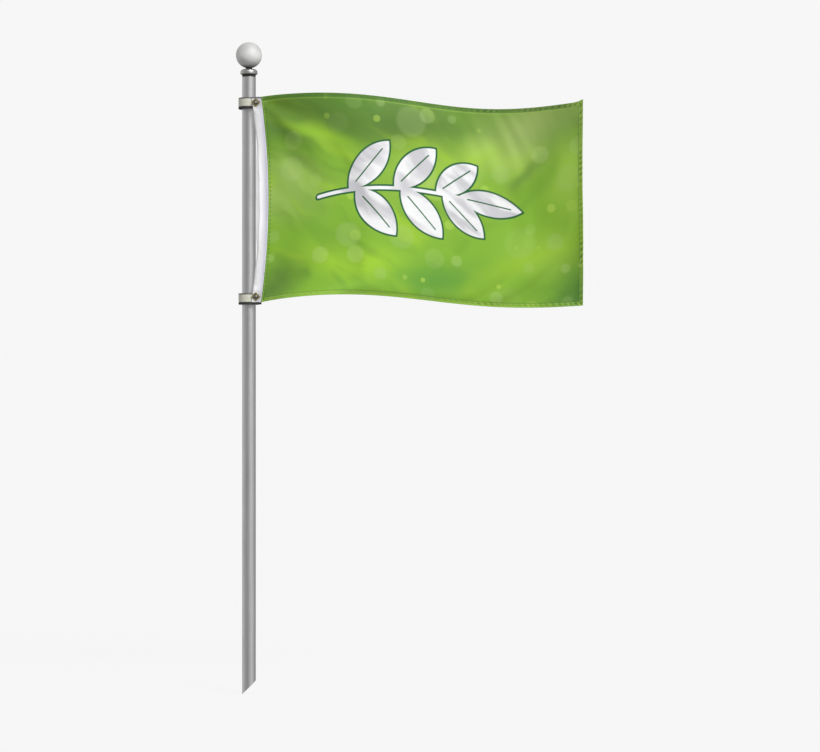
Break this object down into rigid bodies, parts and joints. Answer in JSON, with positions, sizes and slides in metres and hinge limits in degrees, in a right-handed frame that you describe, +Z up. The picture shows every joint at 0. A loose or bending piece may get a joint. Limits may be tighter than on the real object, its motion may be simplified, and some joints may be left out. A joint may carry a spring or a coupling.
{
  "type": "flag with pole",
  "caption": "Printed rectangular flag streaming from two swivel rings on a round bevelled-foot pole with a ball finial.",
  "frame": {"origin": "on the pole's axis, level with the lowest point of its bevelled foot", "axes": "+Z up along the pole, +X the way the flag streams, -Y the side that the header screws and the face of the print are on"},
  "size_m": [1.012, 0.127, 1.902],
  "materials": {
    "pole_aluminium": "brushed along its length",
    "collar_aluminium": "turned",
    "neck_aluminium": "dark anodised",
    "ball_aluminium": "satin",
    "steel": "bright",
    "brass": "dull",
    "black_rubber": "matt",
    "ivory_nylon": "moulded",
    "white_canvas": "plain weave",
    "printed_polyester": "knitted, printed in greens with a white emblem"
  },
  "bodies": {
    "pole": {"pole_tube": "pole_aluminium", "top_plug": "pole_aluminium", "plug_screw_left": "steel", "plug_screw_right": "steel", "upper_stop_pin": "steel", "lower_stop_pin": "steel", "seal_ring": "black_rubber", "finial_collar": "collar_aluminium", "finial_bush": "neck_aluminium", "finial_stud": "steel", "finial_ball": "ball_aluminium"},
    "flag": {"upper_swivel_ring": "ivory_nylon", "upper_glide_shoe": "black_rubber", "upper_threaded_insert": "brass", "upper_eyelet_back": "brass", "upper_eyelet_front": "brass", "upper_rubber_washer": "black_rubber", "upper_header_screw": "steel", "lower_swivel_ring": "ivory_nylon", "lower_glide_shoe": "black_rubber", "lower_threaded_insert": "brass", "lower_eyelet_back": "brass", "lower_eyelet_front": "brass", "lower_rubber_washer": "black_rubber", "lower_header_screw": "steel", "header_tape": "white_canvas", "cloth_hoist": "printed_polyester"},
    "fly": {"cloth_fly": "printed_polyester"}
  },
  "joints": [
    {"name": "flag_swing", "type": "hinge", "parent": "pole", "child": "flag", "pos_m": [0, 0, 1.441], "axis": [0, 0, 1], "continuous": true},
    {"name": "cloth_flap", "type": "hinge", "parent": "flag", "child": "fly", "pos_m": [0.461, -0.0075, 1.441], "axis": [0, 0, 1], "range_deg": [-60, 60]}
  ]
}
